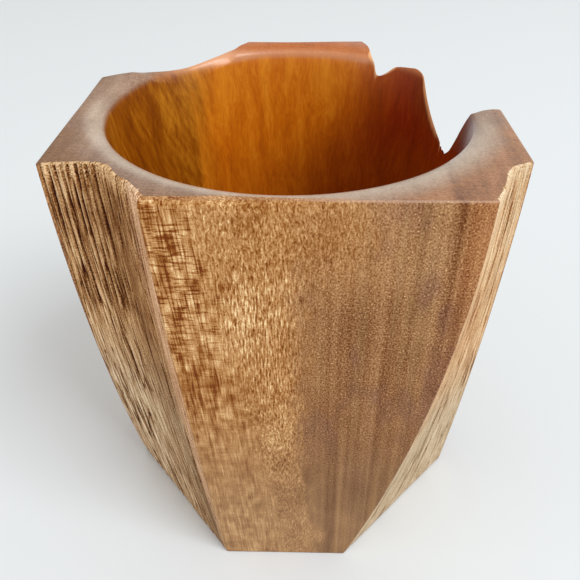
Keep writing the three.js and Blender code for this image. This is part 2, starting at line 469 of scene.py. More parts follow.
def section(column, meeting):
    """The closed section of the wall at one column, as (azimuth, radius, height) points.

    It runs from the plug's seat over the floor, up the bore, over the rim, down the skin and under the foot.
    """
    def on_bore(radius, height):
        azimuth, _ = skin_near(column, height_depth(height))
        return azimuth, radius - fuller_lip(azimuth, radius, height), height

    corner = inner_point(meeting)
    over, down, rolled = edge_eases(column, meeting)
    top = meeting - over
    lip_start = min(WALL_LENGTH, top - (LIP_ROWS + RIM_ROWS) * TIGHTEST_ROW)
    rim_start = min(WALL_LENGTH + LIP_LENGTH, top - RIM_ROWS * TIGHTEST_ROW)
    points = [on_bore(SEAT_RADIUS, 0), on_bore(SEAT_RADIUS, SEAT_DEPTH), on_bore(THROAT_RADIUS, SEAT_DEPTH)]
    points += [on_bore(THROAT_RADIUS, FLOOR_TOP), on_bore((THROAT_RADIUS + FLOOR_CENTRE.x) / 2, FLOOR_TOP)]
    for step in range(CORNER_ROWS):
        turned = -math.pi / 2 + (math.pi / 2 - TAPER) * step / CORNER_ROWS
        points.append(on_bore(*(FLOOR_CENTRE + Vector((math.cos(turned), math.sin(turned))) * FLOOR_ROUND)))
    stops = [lip_start * step / WALL_ROWS for step in range(WALL_ROWS)]
    stops += [lip_start + (rim_start - lip_start) * step / LIP_ROWS for step in range(LIP_ROWS)]
    stops += [rim_start + (top - rim_start) * step / RIM_ROWS for step in range(RIM_ROWS)]
    points += [on_bore(*inner_point(stop)) for stop in stops]

    inner_end = inner_point(top)
    skin_top = height_depth(corner.y - down * (1 - rolled / ROLL_OUT) - rolled * ROLL_FALL)
    _, skin_radius = skin_near(column, skin_top)
    spread = (corner.x + rolled - skin_radius) * rolled / ROLL_OUT
    skin_end = Vector((skin_radius + spread, HEIGHT * (1 - skin_top)))
    for step in range(EASE_ROWS):
        share = step / EASE_ROWS
        points.append(on_bore(*inner_end.lerp(corner, share).lerp(corner.lerp(skin_end, share), share)))
    skin_foot = 1 - FOOT_EASE / HEIGHT
    for step in range(SKIN_ROWS):
        depth = skin_top + (skin_foot - skin_top) * step / SKIN_ROWS
        azimuth, radius = skin_near(column, depth)
        kept = max(1 - (depth - skin_top) * HEIGHT / ROLL_FADE, 0.0) ** 2
        points.append((azimuth, radius + spread * kept, HEIGHT * (1 - depth)))
    azimuth, foot_radius = skin_polar(column, 1.0)
    foot_top = Vector((skin_near(column, skin_foot)[1], HEIGHT * (1 - skin_foot)))
    foot_corner = Vector((foot_radius, 0))
    foot_end = Vector((foot_radius - FOOT_EASE, 0))
    for step in range(FOOT_ROWS):
        share = step / FOOT_ROWS
        place = foot_top.lerp(foot_corner, share).lerp(foot_corner.lerp(foot_end, share), share)
        points.append((azimuth, place.x, place.y))
    for step in range(BASE_ROWS):
        points.append((azimuth, foot_end.x + (SEAT_RADIUS - foot_end.x) * step / BASE_ROWS, 0.0))
    return points


def row_slots():
    """The slot of each mesh row, in the order of a section's points. The skin's is set by its column."""
    seat_and_throat = [END_GRAIN] * 4
    floor_and_bore = [TURNED] * (1 + CORNER_ROWS + WALL_ROWS + LIP_ROWS + RIM_ROWS)
    skin = [EASED] * EASE_ROWS + [SANDED] * SKIN_ROWS
    return seat_and_throat + floor_and_bore + skin + [END_GRAIN] * (FOOT_ROWS + BASE_ROWS)


def face_slot(column, row_slot):
    """The slot of one face of the mesh: the skin's and the eased edge's depend on what cut them."""
    kind = scoop_of(column)
    if row_slot == SANDED:
        return SANDED if kind is None else SCOOPED
    if row_slot != EASED:
        return row_slot
    if kind is not None:
        return SCOOPED if kind.startswith("front") else TURNED
    return SANDED if at_front(outline_point(column, 0.0)) else TURNED


def make_body():
    """The carved block: a sheet of mesh wrapped round the wall's section and round the cup, then closed."""
    meetings = [meeting_distance(column) for column in COLUMNS]
    sections = [section(column, meeting) for column, meeting in zip(COLUMNS, meetings)]
    slots = row_slots()
    across, along = len(COLUMNS), len(slots)
    half = 0.5
    sheet = bmesh.new()
    bmesh.ops.create_grid(sheet, x_segments=across, y_segments=along, size=half)
    torn = sheet.verts.layers.float.new("torn")
    # worn: the back right notch's edge, painted paler both for wear and as a painted highlight
    worn = sheet.verts.layers.float.new("worn")
    lay = sheet.loops.layers.uv.new("lay")
    places = {}
    for vertex in sheet.verts:
        places[vertex] = round((vertex.co.x + half) * across), round((vertex.co.y + half) * along)
    for face in sheet.faces:
        first_column, first_row = map(min, zip(*(places[vertex] for vertex in face.verts)))
        face.material_index = face_slot(COLUMNS[first_column], slots[first_row])
        face.smooth = True
        for loop in face.loops:
            column, row = places[loop.vert]
            distance = LAY[COLUMNS[column]] if column < across else GIRTH
            loop[lay].uv = distance, sections[column % across][row % along][2] / MM
    for vertex, (column, row) in places.items():
        azimuth, radius, height = sections[column % across][row % along]
        rightward = held(radius * math.cos(azimuth), -HALF_WIDTH, HALF_WIDTH)
        backward = held(radius * math.sin(azimuth), -HALF_DEPTH, HALF_DEPTH)
        vertex.co = Vector((rightward, backward, height))
        if slots[row % along] == SANDED:
            vertex[torn] = torn_share(COLUMNS[column % across], height_depth(height))
        # The worn edge, which the bore's finish paints paler both for wear and as a painted highlight
        if slots[row % along] in (TURNED, EASED):
            vertex[worn] = edge_wear_and_highlight(column % across, meetings, height)
    bmesh.ops.remove_doubles(sheet, verts=sheet.verts, dist=SEAM_WIDTH)
    bmesh.ops.recalc_face_normals(sheet, faces=sheet.faces)
    return finished(sheet, "carved_body")


def finished(mesh, name):
    data = bpy.data.meshes.new(name)
    mesh.to_mesh(data)
    mesh.free()
    piece = bpy.data.objects.new(name, data)
    bpy.context.scene.collection.objects.link(piece)
    return piece


def make_plug():
    """The plug in the foot, turned about the cup's axis, with its edges eased."""
    flange = SEAT_RADIUS - PLUG_CLEARANCE
    spigot = THROAT_RADIUS - PLUG_CLEARANCE
    low, shoulder, top = plug_low.z, SEAT_DEPTH - PLUG_CLEARANCE, plug_high.z
    profile = [(0, low), (flange - PLUG_EASE, low), (flange, low + PLUG_EASE), (flange, shoulder),
               (spigot, shoulder), (spigot, top - PLUG_EASE / 2), (spigot - PLUG_EASE / 2, top), (0, top)]
    mesh = bmesh.new()
    vertices = [mesh.verts.new((radius, 0, height)) for radius, height in profile]
    edges = [mesh.edges.new(pair) for pair in zip(vertices, vertices[1:])]
    bmesh.ops.spin(mesh, geom=vertices + edges, axis=(0, 0, 1), cent=(0, 0, 0), angle=math.tau,
                   steps=PLUG_FACETS, use_merge=True)
    bmesh.ops.remove_doubles(mesh, verts=mesh.verts, dist=PLUG_SEAM_WIDTH)
    bmesh.ops.recalc_face_normals(mesh, faces=mesh.faces)
    return finished(mesh, "turned_plug")


def shade(red, green, blue):
    """A colour read off a chart, 0 to 255, as the shaders take it."""
    return *[((value / 255 + 0.055) / 1.055) ** 2.4 for value in (red, green, blue)], 1


# How far cloudy patterns spread about 0, and how rough their detail is
CLOUD_SPREAD = 7.0
CLOUD_ROUGHNESS = 0.55

# Where the front face's own figure ends, going back, in millimetres
FRONT_FIGURE_ENDS = (-42.5, -40)

# The mix node's sockets for the share and the two things mixed, for colours and for numbers
COLOUR_SOCKETS = (0, 6, 7)
NUMBER_SOCKETS = (0, 2, 3)
MIXED_COLOUR = 2
MIXED_NUMBER = 0


class Finish:
    """One wood finish, mixed from patterns measured in millimetres on the piece itself."""

    def __init__(self, name, roughness, gloss=0.5):
        self.material = bpy.data.materials.new(name)
        self.material.use_nodes = True
        self.nodes = self.material.node_tree.nodes
        self.links = self.material.node_tree.links
        self.shader = self.nodes["Principled BSDF"]
        self.shader.inputs["Roughness"].default_value = roughness
        self.shader.inputs["Specular IOR Level"].default_value = gloss
        position = self.add("ShaderNodeTexCoord").outputs["Object"]
        self.place = self.scaled(position, 1 / MM)
        self.x, self.y, self.z = self.add("ShaderNodeSeparateXYZ", self.place).outputs
        self.laid = self.add("ShaderNodeUVMap", uv_map="lay").outputs[0]
        self.across = self.add("ShaderNodeSeparateXYZ", self.laid).outputs[0]

    def add(self, kind, *values, **settings):
        """A node of the kind, with its first inputs and its settings given."""
        node = self.nodes.new(kind)
        for setting, value in settings.items():
            setattr(node, setting, value)
        for socket, value in zip(node.inputs, values):
            self.give(socket, value)
        return node

    def give(self, socket, value):
        """Link the socket to another, or set its value."""
        if isinstance(value, bpy.types.NodeSocket):
            self.links.new(value, socket)
        elif value is not None:
            socket.default_value = value

    def math(self, operation, *values):
        return self.add("ShaderNodeMath", *values, operation=operation).outputs[0]

    def scaled(self, place, factor):
        return self.add("ShaderNodeVectorMath", place, (factor,) * 3, operation="MULTIPLY").outputs[0]

    def sum(self, first, *others):
        for other in others:
            first = self.math("ADD", first, other)
        return first

    def product(self, first, *others):
        for other in others:
            first = self.math("MULTIPLY", first, other)
        return first

    def weigh(self, base, *parts):
        """The base with each pattern added to it, times its weight."""
        for pattern, weight in parts:
            base = self.sum(base, self.product(pattern, weight))
        return base

    def step(self, value, low, high, start=0.0, end=1.0):
        """A smooth step: start where the value is low, end where it is high."""
        node = self.add("ShaderNodeMapRange", value, low, high, start, end, interpolation_type="SMOOTHSTEP")
        return node.outputs[0]

    def noise(self, size, detail=2.0, where=None, shift=0.0):
        """Cloudy values about 0, mostly within 1 of it, with cells of the given size in millimetres."""
        place = self.place if where is None else where
        scaled = self.add("ShaderNodeVectorMath", place, [1 / length for length in size], (shift,) * 3,
                          operation="MULTIPLY_ADD").outputs[0]
        node = self.add("ShaderNodeTexNoise", scaled)
        node.inputs["Scale"].default_value = 1
        node.inputs["Detail"].default_value = detail
        node.inputs["Roughness"].default_value = CLOUD_ROUGHNESS
        return self.math("MULTIPLY_ADD", node.outputs["Fac"], CLOUD_SPREAD, -CLOUD_SPREAD / 2)

    def along_cut(self, width, length, detail, shift=0.0):
        """Cloudy values with cells of the given width round the outline and length down it."""
        return self.noise((width, length, 1), detail, where=self.laid, shift=shift)

    def line(self, value, half_width):
        """Thin lines, 1 where a cloudy value passes through 0."""
        return self.step(self.math("ABSOLUTE", value), 0.0, half_width, 1.0, 0.0)

    def band(self, value, centre, inner, outer):
        """1 within the inner distance of the centre, falling to 0 at the outer one."""
        away = self.math("ABSOLUTE", self.math("SUBTRACT", value, centre))
        return self.step(away, inner, outer, 1.0, 0.0)

    def front(self):
        """1 on the front face and 0 behind it."""
        return self.step(self.y, *FRONT_FIGURE_ENDS, 1.0, 0.0)

    def patch(self, centre, reach):
        """A soft oval on the front face, 1 at its centre, by its place and half its width and height."""
        across = self.math("DIVIDE", self.math("SUBTRACT", self.x, centre[0]), reach[0])
        up = self.math("DIVIDE", self.math("SUBTRACT", self.z, centre[1]), reach[1])
        squared = self.sum(self.product(across, across), self.product(up, up))
        return self.product(self.step(squared, 0.0, 1.0, 1.0, 0.0), self.front())

    def done(self, colour, height, depth):
        """The material, given its colour and a fine relief, deep in millimetres for each unit of height."""
        self.give(self.shader.inputs["Base Color"], colour)
        node = self.add("ShaderNodeBump")
        node.inputs["Strength"].default_value = 1
        node.inputs["Distance"].default_value = depth * MM
        self.give(node.inputs["Height"], height)
        self.give(self.shader.inputs["Normal"], node.outputs[0])
        return self.material

    def bend(self, size, reach):
        """The place, pushed about by a cloudy pattern of the given size."""
        scaled = self.add("ShaderNodeVectorMath", self.place, [1 / length for length in size],
                          operation="MULTIPLY").outputs[0]
        cloud = self.add("ShaderNodeTexNoise", scaled)
        cloud.inputs["Scale"].default_value = 1
        centred = self.add("ShaderNodeVectorMath", cloud.outputs["Color"], (0.5,) * 3,
                           operation="SUBTRACT").outputs[0]
        return self.add("ShaderNodeVectorMath", centred, (reach,) * 3, self.place,
                        operation="MULTIPLY_ADD").outputs[0]

    def dots(self, size, reach):
        """Round dots, 1 at the middle of each and 0 between them."""
        cells = self.add("ShaderNodeTexVoronoi", self.scaled(self.place, 1 / size))
        cells.inputs["Scale"].default_value = 1
        return self.step(cells.outputs["Distance"], reach * 0.5, reach, 1.0, 0.0)

    def mix(self, share, first, second):
        """The first colour where the share is 0, the second where it is 1."""
        node = self.add("ShaderNodeMix", data_type="RGBA")
        for place, value in zip(COLOUR_SOCKETS, (share, first, second)):
            self.give(node.inputs[place], value)
        return node.outputs[MIXED_COLOUR]

    def blend(self, share, first, second):
        """The first number where the share is 0, the second where it is 1."""
        node = self.add("ShaderNodeMix")
        for place, value in zip(NUMBER_SOCKETS, (share, first, second)):
            self.give(node.inputs[place], value)
        return node.outputs[MIXED_NUMBER]

    def tones(self, value, colours):
        """A colour from the given ones, evenly spaced from 0 to 1."""
        node = self.add("ShaderNodeValToRGB", value)
        stops = node.color_ramp.elements
        while len(stops) < len(colours):
            stops.new(0.5)
        for index, (stop, colour) in enumerate(zip(stops, colours)):
            stop.position = index / (len(colours) - 1)
            stop.color = shade(*colour)
        return node.outputs[0]


# Colours of the sanded faces from dark to light, 0 to 255
HONEY = ((112, 50, 0), (150, 92, 36), (182, 130, 78), (214, 166, 112), (250, 220, 168))
TAN = ((92, 54, 26), (144, 104, 70), (184, 143, 106), (226, 182, 128), (250, 218, 158))
WEATHERED = ((84, 52, 30), (130, 98, 70), (168, 128, 88), (204, 166, 120), (236, 206, 160))
BEIGE = ((112, 76, 44), (160, 120, 78), (196, 154, 108), (230, 192, 140))
DUSKY = ((84, 48, 32), (132, 90, 68), (172, 128, 100), (216, 172, 136))
RUSSET = ((96, 44, 14), (158, 92, 46), (196, 128, 74), (226, 166, 108))
# The front top arris: a rubbed edge, with a painted highlight
RUBBED_ARRIS_AND_HIGHLIGHT = (206, 172, 152)

# Colours of the scoops from dark to light; the greyer and paler ones used low down are a painted sheen
FRESH_CUT = ((56, 16, 0), (118, 70, 30), (164, 117, 72), (208, 163, 114), (244, 206, 160))
PAINTED_SHEEN_CUT = ((64, 30, 8), (116, 80, 48), (158, 122, 84), (196, 166, 130), (232, 206, 172))
MAUVE = ((96, 50, 22), (150, 100, 64), (196, 144, 102), (230, 182, 140), (250, 214, 180))
STRAW = ((120, 70, 34), (178, 122, 76), (222, 176, 128), (244, 208, 164), (252, 228, 190))
PAINTED_SHEEN_STRAW = ((126, 92, 62), (184, 156, 120), (214, 190, 158), (230, 208, 178))

# Colours of the oiled bore and its worn edges from dark to light, with painted shade at its right and low
# down, a painted dark reflection by the right post, and a painted highlight on the back lip
AMBER = ((164, 74, 0), (208, 110, 4), (236, 147, 30))
OLD_GOLD = ((108, 44, 0), (151, 81, 0), (201, 128, 26))
SHADED_DEEP_RED = ((88, 0, 0), (134, 2, 0), (164, 30, 0))
SHADED_WARM_RED = ((92, 16, 0), (142, 34, 0), (172, 62, 0))
# Painted shade deep in the bore
SHADED_DARK_AMBER = ((112, 34, 0), (150, 66, 0), (182, 96, 4))
# A painted dark reflection on the right post's inner lip
POST_DARK_REFLECTION = ((62, 22, 2), (104, 50, 14), (150, 84, 36))
# A painted highlight on the rounding of the back lip
PAINTED_LIP_HIGHLIGHT = (238, 176, 134)
# The worn edge's colour, which is also a painted highlight where the edge catches the light
WORN_EDGE_AND_HIGHLIGHT = (246, 184, 128)

# Colours of the rim's end grain from dark to light, with the painted sheen of its front lip
# A painted sheen: the front lip's pale reflection of the bright surroundings
PAINTED_LIP_SHEEN = ((164, 138, 116), (210, 188, 164), (232, 216, 196))
GREY_RIM = ((96, 62, 42), (148, 113, 88), (196, 164, 140))
BROWN_RIM = ((80, 46, 20), (134, 92, 56), (180, 136, 96))
TAWNY_RIM = ((92, 48, 18), (167, 113, 72), (208, 157, 115))
WARM_RIM = ((134, 62, 12), (182, 97, 34), (210, 128, 60))

# Colours of the sawn underside and of the plug from dark to light
SAWN_WOOD = ((84, 50, 28), (132, 90, 56), (172, 128, 86))
PLUG_WOOD = ((104, 56, 28), (160, 96, 56), (196, 134, 84))

FLOOR_COLOUR = (0.8, 0.825, 0.835, 1)


def figure_zones(wood, front, near_rim):
    """Where the faces are browner, and where their figure is blocky, each from 0 to 1."""
    elsewhere = wood.math("MULTIPLY_ADD", wood.noise((60, 60, 300), 1, shift=4), 14, 6)
    side = wood.blend(front, elsewhere, wood.x)
    ragged = wood.noise((1.6, 1.6, 6), 2, shift=9)
    side = wood.math("MULTIPLY_ADD", ragged, 1.1, side)
    near_foot = wood.step(wood.z, 4, 40, 1, 0)
    boundary = wood.math("MULTIPLY_ADD", near_foot, 4.5, 2.6)
    softness = wood.step(wood.z, 45, 80, 1.5, 2.8)
    brown = wood.step(wood.math("DIVIDE", wood.math("SUBTRACT", side, boundary), softness), -1.6, 2.2)
    paler_top = wood.product(near_rim, wood.step(side, 24, 10), 0.75)
    brown = wood.product(brown, wood.math("SUBTRACT", 1, paler_top))
    frayed = wood.weigh(side, (wood.noise((2.6, 2.6, 5), 2, shift=57), 1.5))
    blocky = wood.step(wood.math("MULTIPLY_ADD", wood.z, 0.14, frayed), -4, 2.5, 1, 0)
    return brown, blocky


def weave_tone(wood, front, hair, speck, pale_knot):
    """The blocky figure: leaning pillars and dark seams, crossed by thin dark courses and softer low down."""
    lean = wood.math("MULTIPLY_ADD", wood.product(wood.z, front), 0.08, wood.x)
    leaning = wood.add("ShaderNodeCombineXYZ", lean, wood.y, wood.z).outputs[0]
    pillars = wood.noise((0.6, 0.6, 11), 2, where=leaning)
    seams = wood.step(wood.noise((0.43, 0.43, 8.6), 1, where=leaning, shift=31), -0.25, -0.65)
    courses = wood.step(wood.noise((4.3, 4.3, 0.56), 1, shift=5), -0.3, -0.65)
    fine_courses = wood.step(wood.noise((2.4, 2.4, 0.35), 1, shift=17), -0.2, -0.55)
    course_patches = wood.step(wood.noise((3.5, 3.5, 4), 1, shift=8), -0.7, 0.8)
    blocks = wood.noise((2.2, 2.2, 3.2), 1, shift=2)
    crossing = wood.sum(wood.product(courses, -0.32), wood.product(fine_courses, course_patches, -0.3))
    crossing = wood.product(crossing, wood.step(wood.z, 64, 82, 0.35, 1))
    seam_weight = wood.step(wood.z, 66, 84, -0.16, -0.34)
    weave = wood.weigh(wood.step(wood.z, 82, 60, 0.68, 0.46), (pillars, 0.15), (hair, 0.11), (blocks, 0.15),
                       (seams, seam_weight))
    weave = wood.weigh(wood.sum(weave, crossing), (speck, 0.07))
    softened = wood.math("MULTIPLY_ADD", weave, 0.5, 0.27)
    weave = wood.blend(wood.step(wood.z, 36, 60), softened, weave)
    by_corner = wood.step(wood.math("MULTIPLY_ADD", wood.z, -0.114, wood.x), -26.5, -28.5)
    return wood.weigh(weave, (by_corner, -0.07), (pale_knot, 0.14))


def fleck_tone(wood, speck, near_rim, pale_knot):
    """Short wavy flecks, straighter and livelier above the middle of the face's height."""
    wavy = wood.bend((1.9, 1.9, 2.2), 1.3)
    strokes = wood.noise((0.34, 0.34, 1.4), 1, where=wavy, shift=1)
    straight = wood.noise((0.3, 0.3, 2.6), 1, shift=27)
    above = wood.band(wood.z, 74, 13, 26)
    strokes = wood.blend(wood.product(above, 0.6), strokes, straight)
    clouds = wood.noise((5, 5, 9), 1, shift=12)
    lively = wood.weigh(0.21, (above, 0.17), (wood.step(wood.z, 50, 20), -0.1))
    bright = wood.weigh(0.03, (strokes, 0.07))
    return wood.weigh(0.455, (strokes, lively), (clouds, 0.07), (speck, 0.08),
                      (wood.patch((-6, 80), (9, 13)), bright), (wood.patch((-8.5, 82), (4, 6)), 0.12),
                      (pale_knot, 0.14), (wood.patch((-1, 99), (6, 6)), 0.05), (near_rim, -0.02))


def speckle_tone(wood, speck, near_rim):
    """Fine speckle with pale pores, long straight streaks and a few soft patches."""
    streaks = wood.noise((1.9, 1.9, 110), 2, shift=6)
    cloud = wood.noise((6, 6, 8), 2, shift=14)
    sparkle = wood.dots(0.8, 0.17)
    return wood.weigh(0.255, (speck, wood.step(wood.z, 15, 70, 0.07, 0.17)),
                      (streaks, wood.step(wood.x, 4, 12, 0.055, 0.085)), (cloud, 0.03),
                      (sparkle, wood.step(wood.z, 20, 60, 0.15, 0.5)), (near_rim, 0.12),
                      (wood.patch((29, 100), (3.5, 9)), -0.11), (wood.patch((20, 84), (8, 12)), 0.05),
                      (wood.patch((16, 79), (8, 9)), -0.05))


def face_colour(wood, tone, front, brown):
    """The faces' colour: honey, tan where browner, weathered low down, reddish by the right arris."""
    colour = wood.mix(wood.product(brown, 0.6), wood.tones(tone, HONEY), wood.tones(tone, TAN))
    colour = wood.mix(wood.step(wood.z, 68, 14, 0, 0.8), colour, wood.tones(tone, WEATHERED))
    beige = wood.product(brown, wood.step(wood.noise((2.8, 2.8, 90), 1, shift=51), -0.1, 1.0),
                         wood.step(wood.x, 5, 12, 0.2, 0.5))
    colour = wood.mix(beige, colour, wood.tones(tone, BEIGE))
    dusky = wood.product(brown, wood.step(wood.noise((8, 8, 18), 2, shift=53), -0.2, 1.0),
                         wood.step(wood.z, 20, 62, 0.15, 0.6))
    colour = wood.mix(dusky, colour, wood.tones(tone, DUSKY))
    red_edge = wood.product(wood.step(wood.x, 29.5, 32), front, wood.step(wood.z, 72, 96, 0.15, 0.5))
    colour = wood.mix(red_edge, colour, wood.tones(tone, RUSSET))
    # The front top arris, paler both for wear and as a painted highlight
    arris_wear_and_highlight = wood.product(wood.step(wood.z, 104.6, 104.9), wood.step(wood.x, -22, 14, 0.05, 0.45))
    return wood.mix(arris_wear_and_highlight, colour, shade(*RUBBED_ARRIS_AND_HIGHLIGHT))


def sanded_face():
    """The flat faces: blocky figure at the front's left, then flecks, then speckle on browner wood."""
    wood = Finish("sanded_face", roughness=0.55, gloss=0.1)
    front = wood.front()
    near_rim = wood.step(wood.z, 80, 99)
    pale_knot = wood.patch((-9, 70), (5, 7))
    hair = wood.noise((0.3, 0.3, 5), 1, shift=3)
    speck = wood.noise((0.34, 0.34, 0.4), 1, shift=21)
    brown, blocky = figure_zones(wood, front, near_rim)
    flecks = fleck_tone(wood, speck, near_rim, pale_knot)
    tone = wood.blend(brown, flecks, speckle_tone(wood, speck, near_rim))
    tone = wood.blend(blocky, tone, weave_tone(wood, front, hair, speck, pale_knot))
    by_foot = wood.product(front, wood.step(wood.z, 26, 12))
    ring = wood.product(wood.band(wood.x, 29.7, 0.2, 1.1), wood.step(wood.z, 70, 92), front)
    tone = wood.weigh(tone, (by_foot, 0.06), (ring, -0.12))
    height = wood.sum(wood.product(speck, 0.5), wood.product(hair, 0.5))
    return wood.done(face_colour(wood, tone, front, brown), height, 0.02)


def scooped_corner():
    """The corners as they come off the gouge: raw wood, open pores along the cut, ragged at the top."""
    wood = Finish("scooped_corner", roughness=0.75, gloss=0.08)
    torn = wood.add("ShaderNodeAttribute", attribute_name="torn").outputs["Fac"]
    hair = wood.along_cut(0.3, 6, 2)
    fibres = wood.along_cut(0.55, 16, 2, shift=2)
    bands = wood.along_cut(2.4, 50, 2, shift=5)
    speck = wood.along_cut(0.26, 0.4, 1, shift=9)
    slits = wood.line(wood.along_cut(1, 24, 1, shift=15), 0.26)
    open_slits = wood.product(slits, wood.step(wood.along_cut(3, 22, 1, shift=19), -0.9, 0.5))
    ticks = wood.product(wood.line(wood.along_cut(3, 0.9, 1, shift=41), 0.3),
                         wood.step(wood.along_cut(5, 12, 1, shift=45), 0, 1))
    crumbs = wood.product(wood.step(wood.z, 100.5, 104.5), wood.weigh(0.16, (speck, 0.2)))
    tone = wood.weigh(0.5, (hair, 0.15), (fibres, 0.12), (bands, 0.06), (speck, 0.11), (torn, -0.5),
                      (ticks, -0.16), (open_slits, -0.38))
    tone = wood.sum(tone, crumbs)

    left = wood.step(wood.across, GIRTH - 60, GIRTH - 50)
    from_arris = wood.math("SUBTRACT", GIRTH, wood.across)
    # A sanded mauve strip by the front left arris, painted lighter as painted light on this left-facing part
    sanded_strip_and_light = wood.product(left, wood.step(from_arris, 7.5, 4.5))
    # Painted shade: a darker band down the hollow of the front left scoop, which lies in shade
    painted_valley_shade = wood.product(left, wood.band(from_arris, 10, 4, 8), wood.step(wood.z, 105, 98))
    outer = wood.product(left, wood.step(from_arris, 17, 21))
    # Painted sheen: the front left scoop greyer and lighter low down
    low = wood.step(wood.z, 78, 40)
    rougher = wood.sum(wood.product(open_slits, -0.2), wood.product(fibres, 0.1), wood.product(torn, -0.25),
                       0.04)
    left_tone = wood.weigh(wood.sum(tone, 0.12), (outer, rougher), (painted_valley_shade, -0.15), (low, 0.08))
    left_tone = wood.weigh(wood.sum(left_tone, wood.step(wood.z, 36, 10, 0, -0.08)),
                           (wood.product(outer, wood.step(wood.z, 50, 90)), 0.05))
    sanded_strip_and_light_tone = wood.weigh(wood.sum(tone, 0.22), (speck, 0.08))
    left_colour = wood.mix(low, wood.tones(left_tone, FRESH_CUT), wood.tones(left_tone, PAINTED_SHEEN_CUT))
    left_colour = wood.mix(wood.product(sanded_strip_and_light, 0.85), left_colour, wood.tones(sanded_strip_and_light_tone, MAUVE))

    right_tone = wood.sum(tone, wood.step(wood.z, 70, 98, 0.02, 0.19))
    # Painted sheen: the front right scoop paler low down
    painted_sheen_foot = wood.step(wood.z, 66, 30)
    right_colour = wood.mix(painted_sheen_foot, wood.tones(right_tone, STRAW), wood.tones(right_tone, PAINTED_SHEEN_STRAW))
    height = wood.weigh(hair, (fibres, 0.8), (speck, 0.5), (slits, -1.5))
    return wood.done(wood.mix(left, right_colour, left_colour), height, 0.05)


def bore_colour(wood, drifting, mottle):
    """The oiled bore: gold at the left and amber behind, with painted light near the top, painted shade as
    deep red at the right and as darker amber low down, a painted shadow under the back left lip, and a
    painted dark reflection by the right post.
    """
    streaks = wood.noise((3.6, 3.6, 42), 2, where=drifting)
    hair = wood.noise((0.3, 0.3, 4), 2, where=drifting, shift=35)
    # Painted shade: the bore turns deep red toward its right and lower side, away from the window; lit_top is
    # painted light
    shaded_right = wood.step(wood.math("MULTIPLY_ADD", wood.z, -0.35, wood.x), -25, 0)
    lit_top = wood.product(wood.step(wood.z, 82, 100), wood.step(shaded_right, 0.6, 0))
    tone = wood.weigh(0.5, (streaks, wood.step(shaded_right, 0, 1, 0.14, 0.08)), (mottle, 0.08), (hair, 0.08),
                      (lit_top, 0.19))
    slanting = wood.add("ShaderNodeCombineXYZ", wood.math("MULTIPLY_ADD", wood.z, 0.2, wood.x),
                        wood.math("MULTIPLY_ADD", wood.z, 0.35, wood.y), wood.z).outputs[0]
    golden = wood.noise((1.3, 1.3, 14), 2, where=slanting, shift=25)
    # Painted shadow under the back left lip: the left wall darker from 96 mm up to the lip
    left_tone = wood.sum(wood.weigh(tone, (golden, 0.1)), wood.step(wood.z, 96, 103, 0, -0.1),
                         wood.step(wood.x, -38, -22, -0.13, 0.18))
    to_left = wood.step(wood.math("MULTIPLY_ADD", streaks, 1.5, wood.x), -19, -27)
    behind = wood.mix(to_left, wood.tones(tone, AMBER), wood.tones(left_tone, OLD_GOLD))
    red = wood.mix(wood.step(wood.z, 80, 98), wood.tones(tone, SHADED_DEEP_RED), wood.tones(tone, SHADED_WARM_RED))
    colour = wood.mix(shaded_right, behind, red)
    # Painted shade: darker low down in the bore, more so toward the right
    low = wood.step(wood.math("MULTIPLY_ADD", wood.x, -0.3, wood.z), 88, 66)
    low = wood.product(low, wood.step(wood.x, -16, 12, 0.4, 0.85))
    colour = wood.mix(low, colour, wood.tones(tone, SHADED_DARK_AMBER))
    # Painted reflection: the right post's inner lip turned dark brown
    post_dark_reflection = wood.product(wood.step(wood.x, 28, 35), wood.step(wood.z, 88, 98), 0.8)
    return wood.mix(post_dark_reflection, colour, wood.tones(tone, POST_DARK_REFLECTION))


def rim_colour(wood, grain):
    """The rim's end grain: grey round the bore, brown farther out, a painted sheen on the front lip, and warm
    behind.
    """
    bands = wood.noise((1.8, 16, 16), 2, shift=16)
    ring = wood.band(wood.x, 29.8, 0.7, 2)
    patches = wood.noise((7, 7, 7), 2, shift=23)
    scratches = wood.noise((6, 0.3, 0.3), 2, shift=61)
    from_axis = wood.math("SQRT", wood.sum(wood.product(wood.x, wood.x), wood.product(wood.y, wood.y)))
    far_out = wood.step(wood.math("MULTIPLY_ADD", patches, 1.5, from_axis), 42, 49)
    tone = wood.weigh(0.54, (grain, 0.11), (scratches, 0.07), (bands, 0.08), (ring, -0.16), (patches, 0.06),
                      (far_out, -0.08))
    brown = wood.mix(wood.step(wood.x, -34, 24), wood.tones(tone, BROWN_RIM), wood.tones(tone, TAWNY_RIM))
    rightward = wood.step(wood.x, -10, 20)
    forward = wood.step(wood.y, wood.blend(rightward, 16, 2), wood.blend(rightward, -14, -24))
    wider = wood.product(rightward, wood.step(wood.y, -8, -24))
    # Painted sheen: a pale band on the lip, strongest toward the front left
    painted_lip_sheen = wood.step(from_axis, wood.blend(wider, 43.6, 48.4), wood.blend(wider, 41, 42))
    painted_lip_sheen = wood.product(painted_lip_sheen, wood.product(forward, 0.64))
    top = wood.mix(painted_lip_sheen, wood.mix(far_out, wood.tones(tone, GREY_RIM), brown), wood.tones(tone, PAINTED_LIP_SHEEN))
    behind = wood.product(wood.step(wood.y, 12, 26), wood.step(wood.x, -39, -17))
    return wood.mix(behind, top, wood.tones(tone, WARM_RIM))


